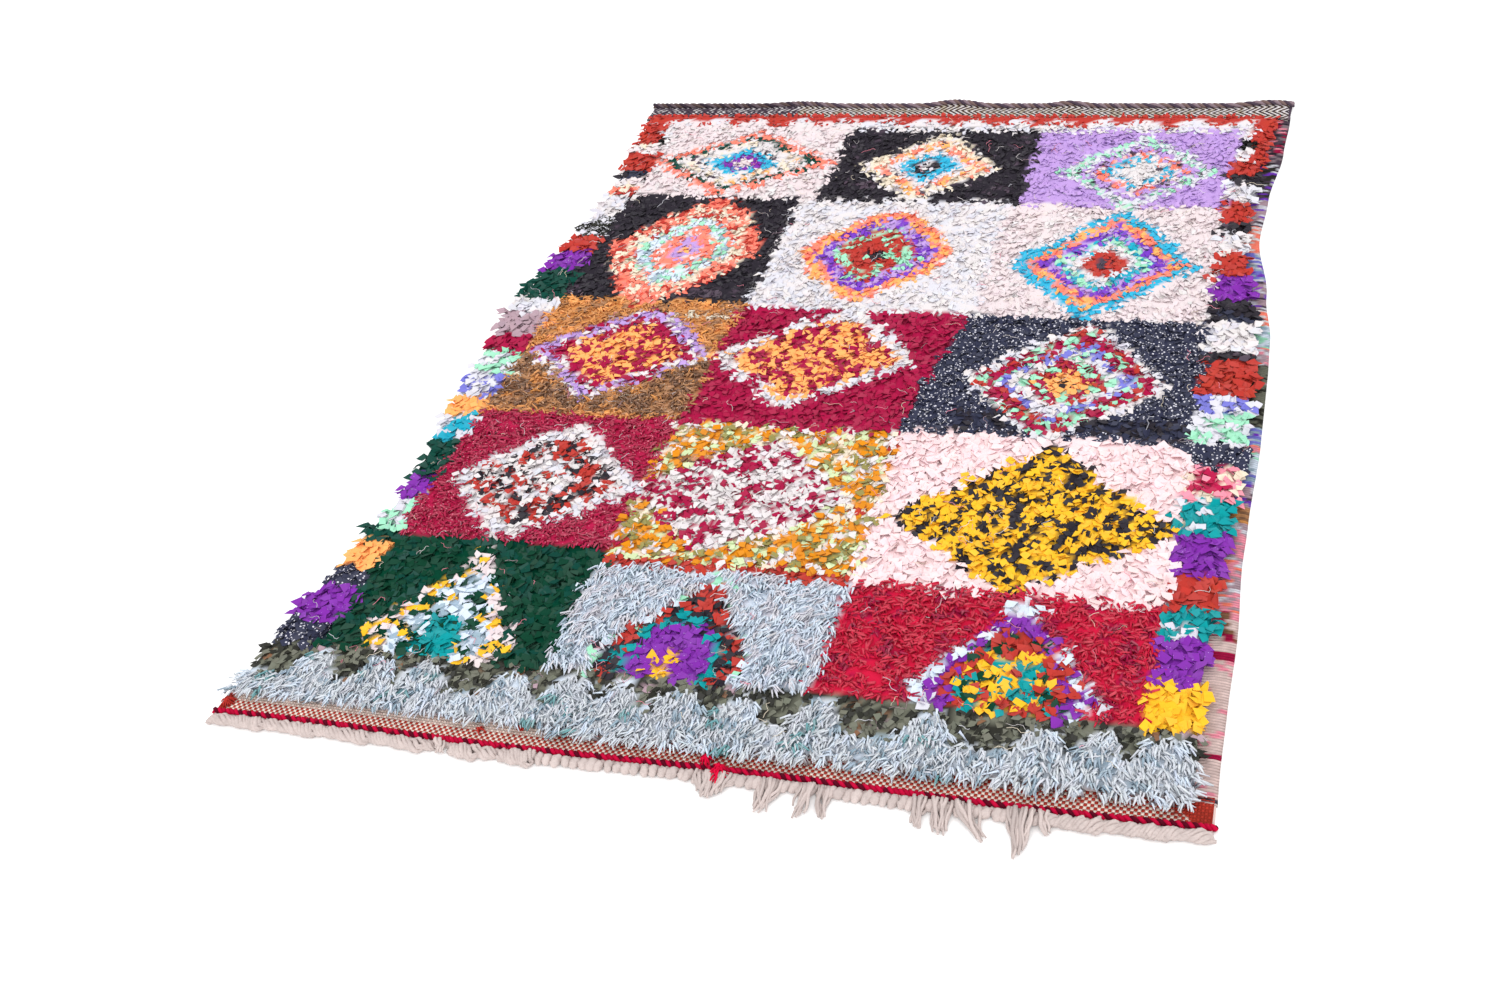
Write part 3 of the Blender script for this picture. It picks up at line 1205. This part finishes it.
def build_ground(rag):
    """The woven ground with the dense foot of its pile: one closed sheet, swollen under the pile.

    The swell over the weave is the root of the way in from the pile's rim, up to full height 10 mm
    in, with a little noise.
    """
    share = np.concatenate([[0, 0.004], np.linspace(0.012, 0.988, 92), [0.996, 1]])
    front = [CLOTH_FRONT, CLOTH_FRONT + 0.016, PILE_FRONT, PILE_FRONT + 0.005]
    middle = np.linspace(PILE_FRONT + 0.014, PILE_BACK - 0.014, 138)
    back = [PILE_BACK - 0.005, PILE_BACK + 0.002, CLOTH_BACK - 0.025, CLOTH_BACK - 0.0005]
    y_line = np.concatenate([front, middle, back])[None, :]
    left, limit, right = (edge(name, y_line) for name in EDGE_COLUMNS[1:])
    margin = np.linspace(0, 1, 4)[1:, None]
    x = np.concatenate([left + (limit - left) * share[:, None], limit + (right - limit) * margin])
    y = y_line + 0 * x
    y = y + front_wave(x) * (y_line == y_line.min())
    inward = np.minimum(np.minimum(x - left, limit - x), np.minimum(y - PILE_FRONT, PILE_BACK - y))
    inward = np.minimum(inward, (PILE_BACK - y + 0.012) * 0.28)
    swell = np.sqrt(np.clip(inward / 0.010, 0, 1)) * (1 + 0.2 * soft_noise(x, y, 0.022, 73))
    low = lift_at(x, y)
    high = low + GROUND_THICK + PILE_FOOT * swell
    chart = chart_at(x.ravel(), y.ravel(), 0.6 * PILE_TOP, 0.5 * PILE_LEAN)
    bare_front = y.ravel() < PILE_FRONT + 0.002
    bare_back = y.ravel() > PILE_BACK + 0.001
    chart.colour[bare_front] = light_of("blush")
    chart.colour[bare_back] = light_of("plum_grey")
    chart.fleck[bare_front | bare_back, 3] = 0.0
    grain = np.stack([x.ravel() * 300, y.ravel() * 300, 0 * y.ravel()], axis=-1)
    colours = {"yarn": chart.colour, "fleck": chart.fleck, "grain": grain}
    return closed_sheet("ground_weave", x, y, low, high, rag, **colours)


def two_yarns(first, second):
    """The two colours of a flat weave as a mesh's layers."""
    return {"yarn": first.reshape(-1, 3), "second": second.reshape(-1, 3)}


def build_front_weave():
    """The fringed end's flat weave: red and cream floats in turn, paler along its left third.

    A flat closed strip from the cord to under the pile, both of its ends in solid brick.
    """
    xs = np.arange(-0.6995, 0.6985, 0.0035)[:, None]
    t = np.linspace(0, 1, 11)[None, :]
    x = xs + 0 * t
    y = CLOTH_FRONT + 0.0004 + (PILE_FRONT + 0.012 - CLOTH_FRONT) * t + front_wave(x)
    red = light_of("orange_red")
    cream = light_of("peach")
    drawn = hashed(np.round(x * 240), np.round(y * 250), 85)
    pale = ((x < -0.22 + 0.12 * soft_noise(x, y, 0.05, 81)) & (t > 0.45))[..., None]
    solid = ((x < -0.688 + 0.004 * drawn) | (x > 0.655 - 0.03 * t + 0.02 * drawn))[..., None]
    red_float = (drawn < 0.75 * np.clip(t - 0.35, 0, 1))[..., None]
    tone = 1 + 0.2 * soft_noise(x, y, 0.012, 82)[..., None]
    first = np.where(solid | (red_float & ~pale), 0.8 * red, cream) * tone
    second = np.where(pale & ~solid, 0.75 * cream + 0.25 * red, red) * tone
    base = GROUND_THICK + 0 * x
    finish = weave_finish("front_weave", 0.0044, 0.0052)
    return closed_sheet("front_weave", x, y, base, base + 0.0022, finish, **two_yarns(first, second))


def build_back_weave():
    """The corded end's flat weave: dark and light twill that turns back on itself in chevrons.

    A closed strip from under the pile to the cord, lifted by the ripples, darker on the left.
    """
    xs = np.arange(-0.700, 0.6985, 0.0045)[:, None]
    t = np.linspace(0, 1, 9)[None, :]
    start = PILE_BACK - 0.008
    x = xs + 0 * t
    y = start + (CLOTH_BACK - 0.001 - start) * t + 0 * x
    light = 1.1 * light_of("warm_white")
    beige = 0.7 * light_of("cream")
    plum = 0.6 * light_of("plum_grey")
    brown = 0.35 * light_of("brown")
    left_end = (x < -0.35)[..., None]
    drawn = hashed(np.round(x * 220), np.round(y * 400), 83)[..., None]
    first = np.where(drawn > np.where(left_end, 0.62, 0.4), light, np.where(left_end, 2.2 * plum, beige))
    second = np.where(left_end | (drawn > 0.6), plum, brown)
    base = GROUND_THICK + lift_at(x, y)
    finish = weave_finish("back_weave", 0.0066, 0.0052, 3.0)
    return closed_sheet("back_weave", x, y, base, base + 0.0020, finish, **two_yarns(first, second))


def build_selvedge():
    """The right selvedge: weft wrapped round the outer warps, a rib to each turn.

    A rib is the size of a sine along Y, and the crown over it is a quarter circle at the outer rim.
    """
    y_line = np.arange(CLOTH_FRONT + 0.036, CLOTH_BACK - 0.040, WRAP_PITCH / 3)[None, :]
    s = np.linspace(0, 1, 7)[:, None]
    inner = edge("pile_right", y_line) - 0.008
    x = inner + (edge("right", y_line) + 0.0015 - inner) * s
    y = y_line + 0 * x
    rib = np.abs(np.sin(np.pi * (y + 0.0008 * np.sin(9 * s)) / WRAP_PITCH))
    crown = np.sqrt(np.clip(1 - np.clip((s - 0.75) / 0.27, 0, 1) ** 2, 0, 1))
    high = 0.0014 + (0.0018 + 0.0026 * rib) * crown
    chart = Chart(x.ravel(), y.ravel())
    chart.paint_blocks(np.full(x.size, True), SELVEDGE_BLOCKS, SELVEDGE_END, None, 600, WRAP_RUN)
    chance = hashed(np.floor(y / WRAP_PITCH), np.floor(s * 5 + 0 * y), 84) - 0.5
    tone = 0.85 * (0.45 + 0.60 * rib) * (1 + 0.3 * chance)
    yarn = chart.colour * tone.reshape(-1, 1)
    finish = yarn_finish("selvedge_yarn", 600.0)
    return closed_sheet("right_selvedge", x, y, 0 * x + 0.0004, high, finish, yarn=yarn)


# Cords


def cord_piece(name, x, y, z, radius, turn, colours, material):
    """A twisted cord: strands wound about one line, each a round tube on its own helix.

    A strand's angle is 2 pi x / turn, plus a slow sine that makes the twist uneven. The colours
    are an array: one for each strand and point.
    """
    phase = np.arange(len(colours))[:, None] * 2 * np.pi / len(colours)
    angle = phase + 2 * np.pi * x[None, :] / turn + 1.3 * np.sin(x[None, :] * 37)
    wind = WIND_SHARE * radius
    paths = np.stack([x + 0 * angle, y + wind * np.cos(angle), z + wind * np.sin(angle)], axis=-1)
    radii = np.full(paths.shape[:2], STRAND_SHARE * radius)
    yarn = np.repeat(colours.reshape(-1, 3), CORD_SIDES, axis=0)
    return strand_piece(name, paths, radii, CORD_SIDES, material, yarn)


def build_front_cord():
    """The twined crimson cord: one bright strand, and one that is dark in about half its turns."""
    low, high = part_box("front_twined_cord")
    x = np.arange(low[0], high[0], 0.0019)
    radius = (high[2] - low[2]) / 2
    y = CLOTH_FRONT - 0.0003 - radius + front_wave(x)
    z = 1.35 * radius + 0 * x
    finish = yarn_finish("crimson_yarn", 800.0, 0.0006)
    bright = np.tile(light_of("hot_crimson"), (x.size, 1))
    is_dark = hashed(np.floor(x / (TWINE_TURN / 2)), 0 * x, 92)[:, None] > 0.42
    mixed = np.where(is_dark, light_of("deep_crimson"), 0.8 * bright)
    colours = np.stack([mixed, bright])
    return cord_piece("twined_cord", x, y, z, 1.46 * radius, TWINE_TURN, colours, finish)


def build_back_cord():
    """The twisted cord of the other end: three dull strands, darker along the left third."""
    low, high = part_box("back_twisted_cord")
    x = np.arange(low[0], high[0], 0.0030)
    radius = (high[1] - low[1]) / 2
    y = (low[1] + high[1]) / 2 + 0 * x
    z = 1.1 * radius + ripple(x)
    finish = yarn_finish("dark_brown_yarn", 800.0, 0.0006)
    shade = 0.55 + 0.45 * np.clip((x + 0.42) / 0.15, 0, 1)
    tones = np.array([light_of(name) for name in ("plum_grey", "dust_brown", "mauve_shade")])
    colours = tones[:, None, :] * shade[None, :, None]
    return cord_piece("twisted_cord", x, y, z, 1.2 * radius, CORD_TURN, colours, finish)


# The knotted fringe


def build_fringe_knots():
    """Knots of the warp ends: wound eggs, each with slanting grooves round it.

    An egg's sections are ellipses as wide as the sine of the polar angle. The groove is a sine of
    the polar angle and of the way round, and each point is a little off by chance.
    """
    columns = []
    for start, end, pitch, half_w, half_d, half_h, slant in FRINGE_STRETCHES:
        places = np.arange(start + pitch / 2, end, pitch)
        sizes = np.tile([half_w, half_d, half_h, math.radians(slant)], (places.size, 1))
        columns.append(np.column_stack([places, sizes]))
    x, half_w, half_d, half_h, slant = np.concatenate(columns).T
    count = x.size
    half_w, half_d, half_h = np.stack([half_w, half_d, half_h]) * RNG.uniform(0.85, 1.2, (count, 3)).T
    x = x + RNG.normal(0, 0.0012, count)
    turn = (slant + RNG.normal(0, 0.15, count))[:, None, None]
    rings, sides = 15, 10
    polar = np.linspace(0.12, np.pi - 0.12, rings)[None, :, None]
    round_it = (np.arange(sides) * 2 * np.pi / sides)[None, None, :]
    groove = 1 + 0.13 * np.sin(KNOT_WINDS * polar + 2 * round_it + x[:, None, None] * 900)
    lump = 1 + 0.05 * RNG.normal(0, 1, (count, rings, sides))
    a = np.sin(polar) * np.cos(round_it) * groove * lump * half_w[:, None, None]
    b = np.cos(polar) * (1 + 0 * round_it) * half_d[:, None, None]
    c = np.sin(polar) * np.sin(round_it) * groove * lump * half_h[:, None, None]
    y = (CLOTH_FRONT + front_wave(x) - KNOT_REACH)[:, None, None]
    px = x[:, None, None] + a * np.cos(turn) + b * np.sin(turn)
    py = y + b * np.cos(turn) - a * np.sin(turn)
    pz = np.maximum(half_h[:, None, None] * 0.92 + c, 0.0)
    size = (count, rings, sides)
    return add_piece(
        "fringe_knots",
        np.stack([px, py, pz], axis=-1).reshape(-1, 3),
        prism_faces(*size),
        prism_caps(*size),
        material=yarn_finish("cream_cotton", 500.0, 0.0012),
        uv=prism_uv(*size),
        yarn=toned("raw_cotton", count, rings * sides, 0.05),
    )


def build_fringe_rolls():
    """Plied warp ends: five strands wound side by side round an uneven flattened roll.

    A strand's angle is 2 pi x over the pitch of the plies, plus a sine. The roll bulges as a saw
    wave and two sines of x, and tapers at its ends.
    """
    parts = []
    for start, end, half_d, half_h, way in FRINGE_ROLLS:
        x = np.linspace(start, end, round((end - start) / 0.0030))
        phase = np.arange(ROLL_PLIES)[:, None] * 2 * np.pi / ROLL_PLIES
        angle = phase + way * (2 * np.pi * x / ROLL_TURN + 1.1 * np.sin(x * 60))
        swell = ((x + 0.275) / 0.084) % 1.0
        bulge = 0.82 + 0.42 * swell**1.5 + 0.24 * np.sin(x * 2 * np.pi / 0.0235 + 1.0 + 3 * np.sin(x * 23))
        ends = np.clip(np.minimum(x - start, end - x) / 0.008, 0.3, 1)
        ply = 0.0035 * ends * (1 + 0.12 * np.sin(x * 310 + 2 * phase))
        middle = CLOTH_FRONT + front_wave(x) - 0.0212 - 0.0040 * swell**2
        y = middle + half_d * bulge * ends * np.cos(angle)
        z = half_h * bulge * ends * (1 + np.sin(angle)) + 0.9 * ply
        parts.append(strands(np.stack([x + 0 * angle, y, z], axis=-1), ply, 7))
    starts = np.cumsum([0] + [len(part[0]) for part in parts])
    verts = np.concatenate([part[0] for part in parts])
    quads = np.concatenate([part[1] + start for part, start in zip(parts, starts)])
    caps = np.concatenate([part[2] + start for part, start in zip(parts, starts)])
    tone = 1 + 0.10 * soft_noise(verts[:, 0], verts[:, 1], 0.006, 91)
    yarn = light_of("raw_cotton") * tone[:, None]
    finish = yarn_finish("roll_cotton", 420.0, 0.0016)
    return add_piece("fringe_rolls", verts, quads, caps, material=finish, yarn=yarn)


def build_warp_strip():
    """The warps between the twined cord and the knots: a narrow strip, its ribs a sine's size."""
    xs = np.arange(-0.701, 0.702, 0.0023)[:, None]
    t = np.linspace(0, 1, 4)[None, :]
    x = xs + 0 * t
    y = CLOTH_FRONT + front_wave(x) - 0.0165 + 0.0085 * t
    ribs = np.abs(np.sin(np.pi * x / 0.0070))
    high = 0.0020 + 0.0022 * ribs + 0.001 * t
    yarn = np.tile(light_of("raw_cotton"), (x.size, 1))
    finish = yarn_finish("warp_cotton", 700.0, 0.0006)
    return closed_sheet("warp_strip", x, y, 0 * x, high, finish, yarn=yarn)


def build_tassels():
    """Loose warp ends: thin plied strands that leave the knots, droop to the floor and splay.

    A strand runs straight away from the cloth, swaying by a power of the way along and a small
    sine, while its height falls by another power.
    """
    middle, width, reach, drift, number = (np.array(column) for column in zip(*TASSELS))
    owner = np.repeat(np.arange(len(TASSELS)), number.astype(int))
    count = owner.size
    rows = 7
    offset = RNG.uniform(-0.5, 0.5, count)
    s = np.linspace(0, 1, rows)[None, :]
    start = middle[owner] + offset * width[owner]
    length = (reach[owner] - 0.014) * (1 - 0.30 * np.abs(2 * offset)) * RNG.uniform(0.72, 1.0, count)
    sway = drift[owner] + RNG.normal(0, 0.0032, count) - 0.6 * offset * width[owner]
    wiggle = RNG.uniform(0, 6.28, count)[:, None]
    px = start[:, None] + sway[:, None] * s**1.5 + 0.0016 * np.sin(7 * s + wiggle)
    py = CLOTH_FRONT - 0.014 - length[:, None] * s
    height = RNG.uniform(0.001, 0.011, count)[:, None]
    pz = 0.0032 + height * (1 - 0.75 * s**1.4) + 0.0012 * np.abs(np.sin(5 * s + wiggle))
    paths = np.stack([px, py, pz], axis=-1)
    radii = RNG.uniform(0.0020, 0.0031, (count, 1)) * (1 - 0.40 * s**3)
    yarn = toned("raw_cotton", count, rows * 5, 0.07)
    finish = yarn_finish("tassel_cotton", 600.0, 0.0012)
    return strand_piece("fringe_tassels", paths, radii, 5, finish, yarn, True)


def tuft_paths(x, y, z, count, reach, rise, way=0.0, spread=np.pi):
    """Middle lines of the bent yarn ends of a tuft, which spring from one spot.

    An end runs off at a heading within spread of way, and bends as it goes: its height above the
    spot is rise times the sine of 0.35 to 0.95 half turns.
    """
    s = np.linspace(0, 1, 7)[None, :]
    heading = way + RNG.uniform(-spread, spread, (count, 1))
    heading = heading + 0.8 * s * RNG.uniform(-1, 1, (count, 1))
    away = reach * RNG.uniform(0.6, 1.1, (count, 1)) * s**1.1
    px = x + RNG.normal(0, 0.16 * reach, (count, 1)) + np.cos(heading) * away
    py = y + RNG.normal(0, 0.16 * reach, (count, 1)) + np.sin(heading) * away
    pz = z + rise * RNG.uniform(0.5, 1.3, (count, 1)) * np.sin(np.pi * (0.35 + 0.6 * s))
    return np.stack([px, py, pz], axis=-1)


def tuft_piece(name, paths, thick, colour, material):
    """Yarn ends along the given middle lines, each tapering to its tip."""
    count, rows = paths.shape[:2]
    s = np.linspace(0, 1, rows)[None, :]
    radii = thick * (1 - 0.4 * s) * RNG.uniform(0.8, 1.2, (count, 1))
    return strand_piece(name, paths, radii, 5, material, toned(colour, count, rows * 5, 0.10))


def build_tie():
    """The crimson tie: two small lumps of bent yarn ends, the second with tails over the fringe."""
    low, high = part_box("crimson_tie")
    x, y, _ = (np.array(low) + np.array(high)) / 2
    finish = yarn_finish("crimson_tie_yarn", 900.0, 0.0005)
    paths = np.concatenate([
        tuft_paths(x - 0.012, y - 0.003, 0.0080, 34, 0.0085, 0.008),
        tuft_paths(x + 0.009, y - 0.015, 0.0085, 30, 0.0085, 0.008),
        tuft_paths(x + 0.009, y - 0.020, 0.0080, 16, 0.0210, 0.007, -0.45 * np.pi, 0.6),
    ])
    return tuft_piece("crimson_tie_ends", paths, 0.0015, "tie_crimson", finish)


def build_red_tufts():
    """Little tufts of brick yarn: at the front left corner, and two left of the tie on the weave."""
    finish = yarn_finish("brick_yarn", 900.0, 0.0005)
    corner_x = float(edge("left", np.array([CLOTH_FRONT + 0.01]))[0])
    paths = np.concatenate([
        tuft_paths(corner_x + 0.014, CLOTH_FRONT + 0.015, 0.0045, 44, 0.0100, 0.008),
        tuft_paths(-0.228, CLOTH_FRONT + 0.024, 0.0040, 9, 0.0100, 0.006, 0.6 * np.pi, 0.5),
        tuft_paths(-0.286, CLOTH_FRONT + 0.018, 0.0040, 9, 0.0085, 0.005),
    ])
    return tuft_piece("brick_tufts", paths, 0.0013, "brick", finish)


# Floor, light and camera


def build_stage():
    """A plain white floor under the rug, for the picture only."""
    mesh = bpy.data.meshes.new("floor")
    half = FLOOR_HALF
    corners = [(-half, -half, 0), (half, -half, 0), (half, half, 0), (-half, half, 0)]
    mesh.from_pydata(corners, [], [(0, 1, 2, 3)])
    mesh.materials.append(Finish("floor_white", 0.9).done(FLOOR_WHITE))
    floor = bpy.data.objects.new("floor", mesh)
    bpy.context.scene.collection.objects.link(floor)


def add_sun(name, toward, strength, spread):
    """A wide soft light from far off: it shines from the side that toward points to."""
    lamp = bpy.data.lights.new(name, "SUN")
    lamp.energy = strength
    lamp.angle = math.radians(spread)
    holder = bpy.data.objects.new(name, lamp)
    back = unit(np.array(toward, float))
    side = unit(np.cross((0.0, 1.0, 0.0), back))
    turn = Matrix(np.stack([side, np.cross(back, side), back], axis=1).tolist())
    holder.matrix_world = turn.to_4x4()
    bpy.context.scene.collection.objects.link(holder)


def build_light():
    """Even white light from all round, and two soft suns: one in front, and a weak one behind."""
    world = bpy.data.worlds.new("studio")
    world.use_nodes = True
    background = world.node_tree.nodes["Background"]
    background.inputs["Color"].default_value = (1.0, 1.0, 1.0, 1.0)
    background.inputs["Strength"].default_value = STUDIO_LIGHT
    bpy.context.scene.world = world
    for sun in SUNS:
        add_sun(*sun)


def build_camera():
    """The photograph's camera."""
    data = bpy.data.cameras.new("camera")
    data.sensor_width = 36.0
    data.lens = CAMERA_LENS
    camera = bpy.data.objects.new("camera", data)
    camera.matrix_world = Matrix.Translation(CAMERA_PLACE) @ Matrix(CAMERA_TURN).to_4x4()
    bpy.context.scene.collection.objects.link(camera)
    bpy.context.scene.camera = camera


def dress(piece, slot, *nodes):
    """Fixes a piece to the rug, names the finish it stands for, and hides the solids it replaces."""
    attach(piece, "root")
    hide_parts(*nodes)


def build_rug():
    """Every piece of the rug, from the ground up, and what each stands for."""
    rag = pile_finish()
    ground = build_ground(rag)
    on_ground = build_pile(rag)
    on_ground += [build_front_weave(), build_back_weave(), build_selvedge()]
    on_ground += [build_threads(), build_red_tufts()]
    for piece in (ground, *on_ground):
        dress(piece, "rag_pile", "rug")
    dress(build_front_cord(), "crimson_yarn", "front_twined_cord")
    dress(build_back_cord(), "dark_brown_yarn", "back_twisted_cord")
    for piece in (build_fringe_knots(), build_fringe_rolls(), build_warp_strip(), build_tassels()):
        dress(piece, "cream_cotton", "front_fringe")
    dress(build_tie(), "crimson_tie_yarn", "crimson_tie")


bpy.context.scene.view_settings.view_transform = "Standard"
build_camera()
build_rug()
build_stage()
build_light()
